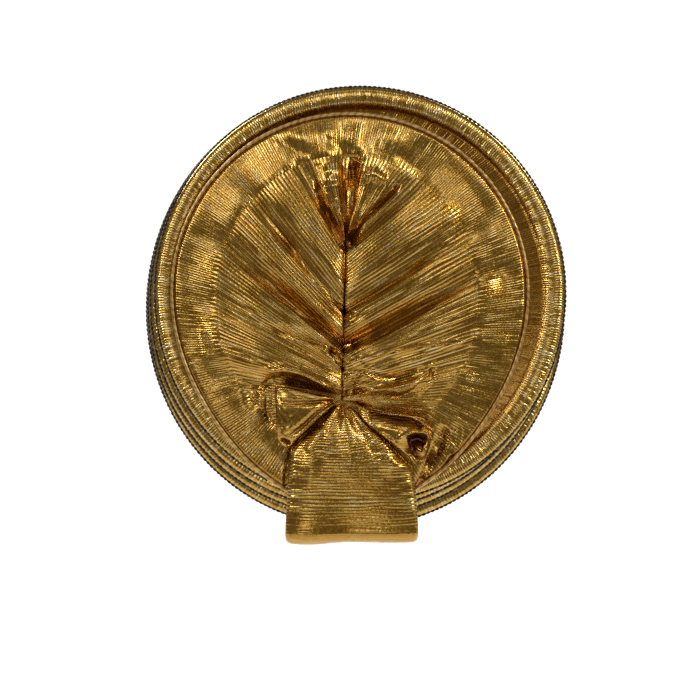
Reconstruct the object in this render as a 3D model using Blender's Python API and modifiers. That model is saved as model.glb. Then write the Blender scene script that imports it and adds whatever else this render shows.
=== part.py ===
"""Turban cap: a ready-made head-tie with a pleated round back, four padded rims and a nape band.

The wearer looks along +Y and +Z is up, so the pleated back faces -Y. The origin is the middle of the
hollow that the head fills. Sizes are in metres.

Angles go round the cap as seen from behind: 0 is the top, 90 the right-hand side (+X), 180 the nape.
A "height" is a distance out of the back panel's rim plane, towards -Y.
"""

from collections import namedtuple
from math import cos, exp, pi, radians, sin

import bmesh
import bpy

MM = 0.001
GAP = 0.3 * MM

# Back panel
PANEL_PLANE_Y = -60 * MM
PANEL_CENTRE = (-1.4 * MM, 6.0 * MM)
PANEL_RADIUS = 128.3 * MM
PANEL_NAPE_REACH = 27 * MM
PANEL_NAPE_SPREAD = 38.0
PANEL_CLOTH = 2.4 * MM
PIPING_RADIUS = 1.4 * MM

# Stitched oval seam, where the crown wall meets the back panel
OVAL_CENTRE = (-3.6 * MM, 0.0)
OVAL_HALF_WIDTH = 93 * MM
OVAL_HALF_HEIGHT = 103 * MM
OVAL_HEIGHT = 4 * MM
OVAL_FLAT = 0.04
BORDER_MIDDLE = 0.5
BORDER_MIDDLE_HEIGHT = 0.7

# Middle seam of the chevron and the gathered point below it
SEAM_TOP = (-4.3 * MM, 40.6 * MM)
KNOT = (-7.1 * MM, -71.3 * MM)
SEAM_DEPTH = 3 * MM
BULGE = 10 * MM
KNOT_DIMPLE = 5 * MM
KNOT_DIMPLE_RADIUS = 20 * MM

# A row for each crest or valley of the pleats, from the top down. drop is how far down the middle seam
# the pleat starts. The other columns give where it crosses the oval, where it reaches the rim (degrees)
# and how far it stands out, for the right-hand and the left-hand pleat of that row.
Pleat = namedtuple("Pleat", "name drop right_oval right_rim right_mm left_oval left_rim left_mm")
PLEATS = [
    Pleat("flap", 0.00, 10, 10, 4.0, 9, 9, 4.5),
    Pleat("first_valley", 0.03, 31, 30, -3.0, 20, 20, -3.5),
    Pleat("first_pleat", 0.22, 48, 47, 3.5, 33, 33, 3.5),
    Pleat("second_valley", 0.43, 64, 66, -3.0, 46, 46, -3.0),
    Pleat("second_pleat", 0.48, 68, 70, 3.0, 52, 53, 3.0),
    Pleat("third_valley", 0.67, 81, 83, -6.0, 68, 70, -6.0),
    Pleat("third_pleat", 0.73, 88, 90, 4.5, 76, 78, 3.5),
    Pleat("fourth_valley", 0.84, 102, 105, 2.5, 92, 94, -1.0),
    Pleat("fourth_pleat", 0.91, 109, 112, 3.5, 106, 108, 5.5),
    Pleat("roll_valley", 0.97, 118, 122, -4.0, 121, 124, -5.0),
    Pleat("below_knot", 1.00, 130, 135, -1.0, 132, 136, -1.0),
    Pleat("lower_side", 1.00, 145, 148, -2.0, 146, 149, -2.0),
    Pleat("lower_middle", 1.00, 160, 161, -2.0, 160, 162, -2.0),
]
PINCH_ANGLE = 2.0
PINCH_MM = -6.0
NAPE_ANGLE = 180.0
NAPE_MM = -2.0
SPOKES_PER_PLEAT = 2

# Share of a pleat's relief that shows at each distance from the middle seam (0) to the oval (1)
Station = namedtuple("Station", "along relief")
PLEAT_STATIONS = [
    Station(0.18, 0.8),
    Station(0.42, 1.0),
    Station(0.68, 0.8),
    Station(0.88, 0.35),
]

# Crown wall: an oval tube that narrows forward, long over the head and short at the nape
CROWN_CLOTH = 2 * MM
CROWN_HALF_WIDTH = OVAL_HALF_WIDTH + CROWN_CLOTH / 2
CROWN_HALF_HEIGHT = OVAL_HALF_HEIGHT + CROWN_CLOTH / 2
CROWN_TAPER = 0.05
CROWN_DEPTH_TOP = 132 * MM
CROWN_DEPTH_NAPE = 42 * MM
CROWN_STATIONS = 4

# Rim layers: where each rim's outer edge runs, and how far it lies in front of the panel's rim plane
SEGMENTS = 48
TRIM_RADIUS = 1.3 * MM
Rim = namedtuple("Rim", "number centre_x centre_z half_width above below top_y nape_y")
RIMS = [
    Rim(1, 5.8, 6.0, 148.6, 149.0, 152.0, 15, 8),
    Rim(2, 2.0, 2.1, 149.8, 153.5, 153.9, 45, 17),
    Rim(3, 1.2, -0.3, 152.5, 159.4, 157.2, 75, 26),
    Rim(4, 2.6, -2.1, 156.3, 166.2, 163.1, 105, 35),
]

# Half of a rim's cross-section: how far in from its edge, and half its thickness there
RimSection = namedtuple("RimSection", "inward half_thickness")
RIM_SECTION = [
    RimSection(0.0, 0.9),
    RimSection(2.6, 3.8),
    RimSection(9.5, 4.6),
    RimSection(17.0, 1.8),
]
RIM_ROOT = 4.4
RIM_NAPE_SQUEEZE = 0.70

# Nape band, from the gathered point down over the nape and up again inside
BandRow = namedtuple("BandRow", "z height left right puff")
NAPE_BAND = [
    BandRow(-73.6, 3.2, -11.4, -2.6, 0.3),
    BandRow(-83.0, 9.0, -19.5, 5.5, 1.8),
    BandRow(-98.0, 12.2, -34.5, 21.5, 3.0),
    BandRow(-108.0, 13.2, -43.5, 31.5, 3.2),
    BandRow(-118.0, 13.0, -44.6, 43.0, 3.2),
    BandRow(-140.0, 11.5, -46.0, 45.6, 2.8),
    BandRow(-160.0, 9.4, -47.2, 47.0, 1.8),
    BandRow(-168.5, 7.6, -47.4, 47.0, 1.2),
    BandRow(-172.3, 3.2, -47.2, 46.8, 0.6),
    BandRow(-172.6, -16.0, -46.0, 45.5, 0.3),
    BandRow(-171.8, -38.0, -45.0, 44.5, 0.2),
    BandRow(-168.8, -43.6, -45.0, 44.5, 0.2),
    BandRow(-160.0, -45.2, -44.0, 43.5, 0.2),
    BandRow(-108.0, -45.0, -38.0, 37.5, 0.2),
]
BAND_COLUMNS = 6
BAND_CLOTH = 2 * MM

# Ear folds: flattened tubes of cloth between an upper and a lower edge
FoldRow = namedtuple("FoldRow", "upper_x upper_z lower_x lower_z height half_thickness")
LEFT_EAR = [
    FoldRow(-12.6, -69.0, -13.6, -74.4, 7.4, 2.6),
    FoldRow(-23.0, -66.9, -24.2, -83.0, 10.2, 3.8),
    FoldRow(-34.0, -64.6, -36.2, -94.6, 11.9, 4.8),
    FoldRow(-45.0, -61.8, -46.6, -103.6, 12.0, 5.4),
    FoldRow(-54.6, -61.6, -52.6, -99.5, 10.3, 5.2),
]
RIGHT_EAR = [
    FoldRow(2.2, -72.4, 3.4, -76.8, 6.4, 2.6),
    FoldRow(13.0, -78.6, 9.0, -84.6, 9.6, 3.6),
    FoldRow(27.0, -80.6, 20.6, -94.4, 12.0, 4.8),
    FoldRow(42.0, -81.6, 34.4, -106.0, 14.0, 6.2),
    FoldRow(58.5, -92.0, 50.5, -116.5, 13.4, 7.2),
]
FOLD_SIDES = 12
FOLD_CLOTH = 1.8 * MM

GOLD = (0.55, 0.36, 0.10, 1.0)
PALE_GOLD = (0.72, 0.50, 0.20, 1.0)
TRIM_BLACK = (0.02, 0.017, 0.015, 1.0)


def clear_scene():
    for obj in list(bpy.data.objects):
        bpy.data.objects.remove(obj, do_unlink=True)


def new_material(name, colour, roughness, metallic):
    material = bpy.data.materials.new(name)
    material.use_nodes = True
    shader = material.node_tree.nodes["Principled BSDF"]
    shader.inputs["Base Color"].default_value = colour
    shader.inputs["Roughness"].default_value = roughness
    shader.inputs["Metallic"].default_value = metallic
    return material


def between(start, end, share):
    return start + (end - start) * share


def eased(share):
    return (1 - cos(pi * share)) / 2


def add_object(name, data, material, collection):
    obj = bpy.data.objects.new(name, data)
    data.materials.append(material)
    collection.objects.link(obj)
    return obj


def grid_mesh(name, rows, closed_rows=False, closed_columns=False):
    """A mesh with a face between each pair of neighbouring points in a grid of rows."""
    mesh = bmesh.new()
    grid = [[mesh.verts.new(point) for point in row] for row in rows]
    row_count = len(grid)
    column_count = len(grid[0])
    for i in range(row_count if closed_rows else row_count - 1):
        for j in range(column_count if closed_columns else column_count - 1):
            below = grid[(i + 1) % row_count]
            after = (j + 1) % column_count
            mesh.faces.new((grid[i][j], grid[i][after], below[after], below[j]))
    bmesh.ops.remove_doubles(mesh, verts=mesh.verts, dist=0.01 * MM)
    bmesh.ops.recalc_face_normals(mesh, faces=mesh.faces)
    data = bpy.data.meshes.new(name)
    mesh.to_mesh(data)
    mesh.free()
    data.shade_smooth()
    return data


def add_thickness(obj, thickness, offset):
    solidify = obj.modifiers.new("cloth", "SOLIDIFY")
    solidify.thickness = thickness
    solidify.offset = offset


def add_tube(name, points, radius, material, collection):
    """A closed tube along the points."""
    curve = bpy.data.curves.new(name, "CURVE")
    curve.dimensions = "3D"
    curve.bevel_depth = radius
    curve.bevel_resolution = 2
    spline = curve.splines.new("POLY")
    spline.points.add(len(points) - 1)
    for target, point in zip(spline.points, points):
        target.co = (*point, 1.0)
    spline.use_cyclic_u = True
    return add_object(name, curve, material, collection)


def oval_point(angle, scale=1.0):
    """A point (x, z) of the stitched oval, or of one that is scale times as large."""
    x = OVAL_CENTRE[0] + OVAL_HALF_WIDTH * scale * sin(radians(angle))
    z = OVAL_CENTRE[1] + OVAL_HALF_HEIGHT * scale * cos(radians(angle))
    return x, z


def rim_point(angle, inset):
    """A point (x, z) inside the back panel's edge, which reaches further down at the nape."""
    from_nape = abs(angle) - NAPE_ANGLE
    reach = PANEL_NAPE_REACH * exp(-((from_nape / PANEL_NAPE_SPREAD) ** 2))
    radius = PANEL_RADIUS + reach - inset
    return (
        PANEL_CENTRE[0] + radius * sin(radians(angle)),
        PANEL_CENTRE[1] + radius * cos(radians(angle)),
    )


def panel_height(x, z):
    """How far the panel's cloth stands out at a point within the oval, without its pleats."""
    across = (x - OVAL_CENTRE[0]) / OVAL_HALF_WIDTH
    up = (z - OVAL_CENTRE[1]) / OVAL_HALF_HEIGHT
    inside = max(0.0, 1 - across**2 - up**2)
    from_knot = ((x - KNOT[0]) ** 2 + (z - KNOT[1]) ** 2) / KNOT_DIMPLE_RADIUS**2
    return OVAL_HEIGHT + BULGE * inside - KNOT_DIMPLE * exp(-from_knot)


Spoke = namedtuple("Spoke", "drop oval rim relief")


def pleat_spokes():
    """The lines of cloth from the middle seam to the rim, clockwise from the pinch at the top."""
    pinch = Spoke(0.0, PINCH_ANGLE, PINCH_ANGLE, PINCH_MM * MM)
    right = [Spoke(p.drop, p.right_oval, p.right_rim, p.right_mm * MM) for p in PLEATS]
    left = [Spoke(p.drop, -p.left_oval, -p.left_rim, p.left_mm * MM) for p in PLEATS]
    nape = Spoke(1.0, NAPE_ANGLE, NAPE_ANGLE, NAPE_MM * MM)
    other_nape = nape._replace(oval=-NAPE_ANGLE, rim=-NAPE_ANGLE)
    down = subdivided([pinch, *right, nape])
    up = subdivided([other_nape, *reversed(left), pinch])
    return down + up


def subdivided(rows):
    """The rows with further spokes between them, and without the last."""
    spokes = []
    for start, end in zip(rows, rows[1:]):
        for step in range(SPOKES_PER_PLEAT):
            share = step / SPOKES_PER_PLEAT
            spokes.append(
                Spoke(
                    between(start.drop, end.drop, share),
                    between(start.oval, end.oval, share),
                    between(start.rim, end.rim, share),
                    between(start.relief, end.relief, eased(share)),
                )
            )
    return spokes


def seam_point(drop):
    return between(SEAM_TOP[0], KNOT[0], drop), between(SEAM_TOP[1], KNOT[1], drop)


def out_of_panel(x, z, height):
    return x, PANEL_PLANE_Y - height, z


def spoke_points(spoke):
    inner = seam_point(spoke.drop)
    outer = oval_point(spoke.oval, 1 - OVAL_FLAT)
    points = [out_of_panel(*inner, panel_height(*inner) - SEAM_DEPTH)]
    for station in PLEAT_STATIONS:
        x = between(inner[0], outer[0], station.along)
        z = between(inner[1], outer[1], station.along)
        height = panel_height(x, z) + spoke.relief * station.relief
        points.append(out_of_panel(x, z, height))
    beyond = oval_point(spoke.oval, 1 + OVAL_FLAT)
    edge = rim_point(spoke.rim, 2 * PIPING_RADIUS + GAP)
    middle = [between(a, b, BORDER_MIDDLE) for a, b in zip(beyond, edge)]
    points.append(out_of_panel(*outer, OVAL_HEIGHT))
    points.append(out_of_panel(*beyond, OVAL_HEIGHT))
    points.append(out_of_panel(*middle, OVAL_HEIGHT * BORDER_MIDDLE_HEIGHT))
    points.append(out_of_panel(*edge, 0.0))
    return points


def build_back_panel(material, collection):
    """The pleated panel: its outer surface, drawn forward by the thickness of the stiffened cloth."""
    data = grid_mesh("back_panel", [spoke_points(s) for s in pleat_spokes()], closed_rows=True)
    mesh = bmesh.new()
    mesh.from_mesh(data)
    grown = bmesh.ops.extrude_face_region(mesh, geom=mesh.faces[:])
    moved = [item for item in grown["geom"] if isinstance(item, bmesh.types.BMVert)]
    bmesh.ops.translate(mesh, verts=moved, vec=(0, PANEL_CLOTH, 0))
    bmesh.ops.recalc_face_normals(mesh, faces=mesh.faces)
    mesh.to_mesh(data)
    mesh.free()
    return add_object("back_panel", data, material, collection)


def build_piping(material, collection):
    points = []
    for spoke in pleat_spokes():
        x, z = rim_point(spoke.rim, PIPING_RADIUS)
        points.append(out_of_panel(x, z, -PANEL_CLOTH / 2))
    return add_tube("panel_piping", points, PIPING_RADIUS, material, collection)


def crown_point(angle, y, offset=0.0):
    """A point on the crown wall's outer face, offset outwards, y in front of the panel's rim plane."""
    narrowing = 1 - CROWN_TAPER * (y / CROWN_DEPTH_TOP) ** 2
    x = OVAL_CENTRE[0] + (CROWN_HALF_WIDTH * narrowing + offset) * sin(angle)
    z = OVAL_CENTRE[1] + (CROWN_HALF_HEIGHT * narrowing + offset) * cos(angle)
    return x, PANEL_PLANE_Y + y, z


def build_crown_wall(material, collection):
    rear = PANEL_CLOTH - OVAL_HEIGHT + GAP
    rows = []
    for station in range(CROWN_STATIONS + 1):
        row = []
        for i in range(SEGMENTS):
            angle = 2 * pi * i / SEGMENTS
            front = between(CROWN_DEPTH_NAPE, CROWN_DEPTH_TOP, (1 + cos(angle)) / 2)
            y = between(rear, front, station / CROWN_STATIONS)
            row.append(crown_point(angle, y))
        rows.append(row)
    data = grid_mesh("crown_wall", rows, closed_columns=True)
    wall = add_object("crown_wall", data, material, collection)
    add_thickness(wall, CROWN_CLOTH, -1)
    return wall


def rim_edge(rim, angle, inset):
    """A point of a rim layer's outer edge, moved inwards by inset."""
    height = rim.above if cos(angle) > 0 else rim.below
    x = rim.centre_x * MM + (rim.half_width * MM - inset) * sin(angle)
    z = rim.centre_z * MM + (height * MM - inset) * cos(angle)
    lift = (1 + cos(angle)) / 2
    return x, PANEL_PLANE_Y + between(rim.nape_y, rim.top_y, lift) * MM, z


def rim_section(rim, angle):
    """The closed cross-section of a rim layer: a padded roll, a waist and a root on the crown wall."""
    squeeze = between(RIM_NAPE_SQUEEZE, 1.0, (1 + cos(angle)) / 2)
    edge = 2 * TRIM_RADIUS + GAP
    upper = []
    lower = []
    for row in RIM_SECTION:
        x, y, z = rim_edge(rim, angle, edge + row.inward * MM)
        half = row.half_thickness * MM * squeeze
        upper.append((x, y - half, z))
        lower.append((x, y + half, z))
    middle = rim_edge(rim, angle, edge)[1]
    half = RIM_ROOT * MM * squeeze
    for side, points in ((-half, upper), (half, lower)):
        depth = middle + side - PANEL_PLANE_Y
        points.append(crown_point(angle, depth, GAP))
    return upper + lower[::-1]


def build_rim(rim, material, collection):
    rows = [rim_section(rim, 2 * pi * i / SEGMENTS) for i in range(SEGMENTS)]
    name = f"rim_layer_{rim.number}"
    data = grid_mesh(name, rows, closed_rows=True, closed_columns=True)
    return add_object(name, data, material, collection)


def build_trim(rim, material, collection):
    points = [rim_edge(rim, 2 * pi * i / SEGMENTS, TRIM_RADIUS) for i in range(SEGMENTS)]
    return add_tube(f"trim_{rim.number}", points, TRIM_RADIUS, material, collection)


def build_nape_band(material, collection):
    rows = []
    for row in NAPE_BAND:
        points = []
        for column in range(BAND_COLUMNS + 1):
            across = 2 * column / BAND_COLUMNS - 1
            x = between(row.left, row.right, (across + 1) / 2)
            height = row.height - row.puff * across**4
            points.append(out_of_panel(x * MM, row.z * MM, height * MM))
        rows.append(points)
    data = grid_mesh("nape_band", rows)
    band = add_object("nape_band", data, material, collection)
    add_thickness(band, BAND_CLOTH, 1)
    return band


def fold_section(row):
    """The closed outline of a flattened tube of cloth between its two edges."""
    middle_x = (row.upper_x + row.lower_x) / 2
    middle_z = (row.upper_z + row.lower_z) / 2
    points = []
    for i in range(FOLD_SIDES):
        angle = 2 * pi * i / FOLD_SIDES
        x = middle_x + (row.upper_x - row.lower_x) / 2 * cos(angle)
        z = middle_z + (row.upper_z - row.lower_z) / 2 * cos(angle)
        height = row.height + row.half_thickness * sin(angle)
        points.append(out_of_panel(x * MM, z * MM, height * MM))
    return points


def build_ear_fold(name, rows, material, collection):
    data = grid_mesh(name, [fold_section(row) for row in rows], closed_columns=True)
    fold = add_object(name, data, material, collection)
    add_thickness(fold, FOLD_CLOTH, -1)
    return fold


def build():
    clear_scene()
    collection = bpy.data.collections.new("turban_cap")
    bpy.context.scene.collection.children.link(collection)
    cloth = new_material("gold_cloth", GOLD, 0.35, 0.8)
    piping = new_material("pale_gold_cloth", PALE_GOLD, 0.4, 0.7)
    stones = new_material("dark_trim", TRIM_BLACK, 0.3, 0.5)
    build_back_panel(cloth, collection)
    build_piping(piping, collection)
    build_crown_wall(cloth, collection)
    for rim in RIMS:
        build_rim(rim, cloth, collection)
        build_trim(rim, stones, collection)
    build_ear_fold("left_ear_fold", LEFT_EAR, cloth, collection)
    build_ear_fold("right_ear_fold", RIGHT_EAR, cloth, collection)
    build_nape_band(cloth, collection)


build()
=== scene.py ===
from collections import namedtuple
from functools import lru_cache
from math import cos, pi, sin

import bmesh
import bpy
import numpy as np
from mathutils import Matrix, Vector


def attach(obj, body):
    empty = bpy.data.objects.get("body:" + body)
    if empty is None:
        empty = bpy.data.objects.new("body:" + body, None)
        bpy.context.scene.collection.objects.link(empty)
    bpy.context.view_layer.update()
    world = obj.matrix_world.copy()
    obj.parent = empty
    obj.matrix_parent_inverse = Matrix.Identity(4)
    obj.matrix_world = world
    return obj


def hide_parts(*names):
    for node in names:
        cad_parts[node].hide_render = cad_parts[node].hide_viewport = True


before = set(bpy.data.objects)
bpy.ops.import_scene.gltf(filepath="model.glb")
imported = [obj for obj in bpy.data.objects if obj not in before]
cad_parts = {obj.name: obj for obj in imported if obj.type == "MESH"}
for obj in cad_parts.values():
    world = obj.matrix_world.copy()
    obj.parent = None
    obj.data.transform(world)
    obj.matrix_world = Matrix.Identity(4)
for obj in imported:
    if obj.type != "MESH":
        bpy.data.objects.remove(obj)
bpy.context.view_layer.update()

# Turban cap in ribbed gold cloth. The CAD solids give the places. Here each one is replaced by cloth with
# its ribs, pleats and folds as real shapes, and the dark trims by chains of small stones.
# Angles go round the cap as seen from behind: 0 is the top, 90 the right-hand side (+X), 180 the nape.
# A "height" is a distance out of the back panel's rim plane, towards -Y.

MM = 0.001
BODY = "root"


def table(kind, rows):
    return [kind(*row) for row in rows]


# Camera and frame of the photograph
FRAME_PIXELS = 700
MM_PER_PIXEL = 0.7126
CAMERA_DISTANCE = 1.6
CAMERA_X = -1.4 * MM
CAMERA_Z = -35.6 * MM
SENSOR_WIDTH = 36.0

# Back panel
PANEL_PLANE_Y = -60 * MM
PANEL_CENTRE = (-1.4 * MM, 6.0 * MM)
PANEL_RADIUS = 128.3 * MM
PANEL_NAPE_REACH = 27 * MM
PANEL_NAPE_SPREAD = 38.0
PANEL_CLOTH = 2.0 * MM
PIPING_RADIUS = 1.4 * MM

# Stitched oval seam, where the crown wall meets the back panel
OVAL_CENTRE = (-3.6 * MM, 0.0)
OVAL_HALF_WIDTH = 93 * MM
OVAL_HALF_HEIGHT = 103 * MM
OVAL_HEIGHT = 4 * MM

# Middle seam of the chevron and the gathered point below it
SEAM_TOP = (-4.3 * MM, 40.6 * MM)
KNOT = (-7.1 * MM, -71.3 * MM)
BULGE = 10 * MM
BULGE_POWER = 1.2
KNOT_DIMPLE = 3 * MM
KNOT_DIMPLE_RADIUS = 14 * MM

# A row for each crest or valley of the pleats, from the top down. drop is how far down the middle seam
# the pleat starts. The other columns give where it crosses the oval (degrees) and how far it stands out,
# for the right-hand and the left-hand pleat of that row.
Pleat = namedtuple("Pleat", "name drop right_oval right_mm left_oval left_mm")
PLEATS = table(Pleat, [
    ("flap", 0.00, 9, 3.0, 8, 3.5),
    ("flap_outer", 0.00, 20, -0.5, 15, 1.0),
    ("first_valley", 0.03, 33, -2.2, 21, -2.2),
    ("first_pleat", 0.10, 39, 2.2, 26, 2.2),
    ("first_middle", 0.25, 52, 4.5, 36, 4.5),
    ("second_valley", 0.43, 64, -0.8, 46, -0.8),
    ("second_pleat", 0.48, 68, 3.3, 51, 3.3),
    ("second_middle", 0.57, 73, 3.0, 58, 3.0),
    ("third_valley", 0.67, 81, -1.5, 68, -1.5),
    ("third_pleat", 0.71, 85, 5.2, 72, 4.5),
    ("third_middle", 0.77, 95, 4.5, 82, 3.8),
    ("fourth_valley", 0.83, 101, 3.0, 92, 1.5),
    ("fourth_pleat", 0.87, 105, 3.8, 97, 3.8),
    ("roll", 0.93, 111, 1.5, 112, 6.8),
    ("roll_valley", 0.97, 116, -1.0, 122, -1.5),
    ("upper_wing", 0.99, 121, 2.0, 128, -1.5),
    ("below_knot", 1.00, 134, 1.0, 136, -1.0),
    ("lower_side", 1.00, 147, -2.0, 147, -2.0),
    ("lower_middle", 1.00, 162, -2.0, 162, -2.0),
])
CREASE_REACH = 1.9
CREASE_END_WIDTH = 0.35
CREASE_POWER = 1.5
PINCH_ANGLE = 2.0
PINCH_MM = -6.0
NAPE_ANGLE = 180.0
NAPE_MM = -2.0

# Sharp creases and ridges: how deep each one is (a ridge is less than nothing), how wide it is on the side
# above or to the right of its line and on the other side, over what length it fades in and out, and its
# line as x and z. All in mm.
Crease = namedtuple("Crease", "name depth first_width second_width fade_in fade_out line")
PANEL_CREASES = table(Crease, [
    ("left_flap", 3.5, 2.5, 1.6, 2, 14, [(-6.4, 36.6), (-15.6, 55.1), (-24.1, 77.7), (-28.3, 90.5)]),
    ("left_second", 3.2, 1.4, 8.0, 0, 34,
     [(-5.6, -5.9), (-15.6, 0.5), (-25.5, 10.4), (-33.3, 22.5), (-40.4, 35.2), (-47.4, 43.7),
      (-56.6, 55.1), (-63.0, 62.1)]),
    ("left_third", 5.0, 13.0, 1.4, 0, 40,
     [(-4.9, -33.5), (-12.0, -27.1), (-21.2, -19.3), (-33.3, -11.5), (-43.9, -3.7), (-49.6, -0.2),
      (-63.7, 10.4), (-79.3, 22.5)]),
    ("left_fourth", 3.5, 5.0, 1.6, 3, 30,
     [(-9.9, -37.0), (-19.1, -32.1), (-36.8, -27.1), (-51.0, -23.6), (-72.2, -15.8)]),
    ("left_roll", 3.8, 1.4, 6.0, 14, 5,
     [(-7.1, -68.9), (-21.2, -62.5), (-35.4, -55.4), (-46.7, -53.3), (-56.6, -55.4), (-62.3, -60.4),
      (-63.7, -66.8)]),
    ("left_roll_crest", -2.6, 3.2, 2.2, 8, 12,
     [(-9.9, -66.1), (-24.1, -57.6), (-36.8, -51.2), (-47.4, -49.1), (-58.1, -51.2), (-66.6, -57.6)]),
    ("left_pocket", 3.2, 3.2, 4.0, 4, 8, [(-65.1, -59.7), (-69.4, -63.9), (-70.8, -71.0), (-68.7, -79.5)]),
    ("left_ripple", 2.2, 2.0, 3.0, 5, 6, [(-59.5, -65.3), (-60.2, -78.1), (-56.6, -92.3)]),
    ("pinch", 6.0, 5.0, 1.6, 7, 0,
     [(-1.4, 100.4), (0.7, 91.9), (1.4, 81.3), (0.7, 67.1), (-0.7, 55.1), (-4.2, 38.1)]),
    ("left_flap_crest", -3.0, 5.0, 5.0, 10, 10, [(-9.9, 93.3), (-11.3, 77.7), (-10.6, 63.6), (-7.8, 50.8)]),
    ("right_flap", 4.5, 1.6, 2.2, 0, 10,
     [(-4.2, 37.4), (2.1, 48.0), (9.2, 58.6), (19.8, 68.5), (29.1, 76.3), (35.4, 84.8)]),
    ("right_second", 3.0, 2.0, 2.2, 0, 40,
     [(-4.2, -8.0), (5.7, -2.3), (19.8, 5.5), (34.0, 14.7), (48.2, 25.3), (62.3, 35.2), (76.5, 42.3)]),
    ("right_third", 4.6, 9.0, 1.4, 0, 40,
     [(-4.9, -37.0), (-1.4, -34.9), (12.8, -29.2), (23.4, -24.3), (34.0, -17.9), (48.2, -10.1),
      (58.8, -3.0), (69.4, 4.8), (76.5, 8.3)]),
    ("right_ridge", -2.2, 1.6, 2.6, 3, 16, [(-1.4, -43.4), (19.8, -39.8), (48.2, -33.5), (83.6, -29.2)]),
    ("right_roll_top", 3.4, 2.0, 1.6, 4, 12,
     [(-2.8, -65.3), (2.1, -56.1), (6.4, -50.5), (12.8, -51.9), (21.3, -55.4), (31.2, -55.4),
      (41.1, -52.6), (51.0, -46.2)]),
    ("right_roll_crest", -2.8, 3.0, 2.6, 3, 14,
     [(0.7, -61.1), (14.2, -62.5), (31.2, -63.2), (41.1, -60.4), (51.0, -52.6), (58.1, -41.3)]),
    ("right_roll_foot", 3.6, 1.6, 3.2, 4, 14,
     [(-2.1, -64.6), (16.3, -66.8), (34.0, -68.2), (44.6, -64.6), (53.8, -56.1), (59.5, -44.1)]),
    ("right_gather", 5.0, 3.0, 4.0, 5, 6,
     [(66.6, -88.0), (63.1, -99.3), (56.0, -112.1), (51.0, -126.3), (48.2, -139.0)]),
    ("right_gather_outer", 2.4, 2.0, 2.4, 6, 8,
     [(75.1, -85.2), (73.7, -102.9), (68.0, -120.6), (60.9, -136.2)]),
    ("left_gap", 2.6, 1.2, 1.2, 3, 0,
     [(-9.9, -75.3), (-22.6, -85.2), (-34.7, -96.5), (-43.2, -105.7), (-46.7, -120.6), (-48.1, -141.8)]),
    ("right_gap", 2.2, 1.2, 1.2, 3, 4, [(-4.2, -76.0), (7.1, -87.3), (20.6, -98.6), (30.5, -105.7)]),
    ("left_flap_puff_upper", -1.6, 3.6, 3.6, 3, 3, [(-20.5, 89.8), (-13.4, 91.9), (-5.6, 93.3)]),
    ("left_flap_dip", 1.6, 2.4, 2.4, 3, 3, [(-21.2, 79.9), (-5.6, 82.0)]),
    ("left_flap_puff_lower", -1.8, 3.8, 4.6, 3, 3, [(-21.2, 67.8), (-12.7, 70.6), (-4.9, 72.8)]),
    ("right_flap_puff", -2.2, 4.0, 4.0, 4, 4, [(7.1, 87.6), (15.6, 89.1), (25.5, 83.4)]),
    ("top_tuck_left", 1.0, 4.5, 3.5, 6, 10,
     [(-59.5, 118.8), (-48.9, 111.7), (-36.8, 106.1), (-24.1, 100.4)]),
    ("top_tuck_middle", 1.1, 4.0, 4.5, 6, 8, [(-21.2, 116.7), (-9.9, 108.9), (-1.4, 100.4), (11.3, 106.1)]),
    ("top_puff_left", -0.8, 6.0, 6.0, 6, 6, [(-56.6, 108.2), (-43.9, 116.0), (-31.1, 113.1)]),
    ("top_puff_middle", -0.7, 6.0, 6.0, 5, 5, [(-8.5, 114.6), (2.8, 111.7)]),
    ("top_tuck_right", 1.0, 4.5, 3.5, 6, 12, [(29.8, 106.1), (42.5, 94.7), (55.3, 87.6)]),
    ("seam_upper", 2.2, 0.9, 0.9, 0, 0,
     [(-4.9, 39.5), (-5.6, 14.0), (-5.6, -7.3), (-4.2, -21.4), (-2.1, -36.3)]),
    ("seam_lower", 4.0, 0.9, 0.9, 0, 4,
     [(-12.7, -38.4), (-9.9, -41.3), (-5.6, -51.2), (-2.1, -62.5), (-6.4, -68.9)]),
    ("hole", 12.0, 1.6, 1.6, 0, 0, [(-14.1, -37.0), (-11.3, -39.8), (-7.8, -45.5)]),
])

# Crown wall: an oval tube that narrows forward, long over the head and short at the nape
CROWN_CLOTH = 2 * MM
CROWN_HALF_WIDTH = OVAL_HALF_WIDTH + CROWN_CLOTH / 2
CROWN_HALF_HEIGHT = OVAL_HALF_HEIGHT + CROWN_CLOTH / 2
CROWN_TAPER = 0.05
CROWN_DEPTH_TOP = 132 * MM
CROWN_DEPTH_NAPE = 42 * MM
CROWN_REAR = -1.3 * MM

# Rim layers: where each rim's outer edge runs, and how far it lies in front of the panel's rim plane
TRIM_RADIUS = 1.3 * MM
CLOTH_EDGE_INSET = 1.45 * MM
Rim = namedtuple("Rim", "number centre_x centre_z half_width above below top_y nape_y")
RIMS = table(Rim, [
    (1, 5.8, 6.0, 148.6, 149.0, 152.0, 15, 8),
    (2, 2.0, 2.1, 149.8, 153.5, 153.9, 45, 17),
    (3, 1.2, -0.3, 152.5, 159.4, 157.2, 75, 26),
    (4, 2.6, -2.1, 156.3, 166.2, 163.1, 105, 35),
])
RIM_WAIST = 1.6
RIM_ROOT = 4.2
RIM_NAPE_SQUEEZE = 0.70

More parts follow.
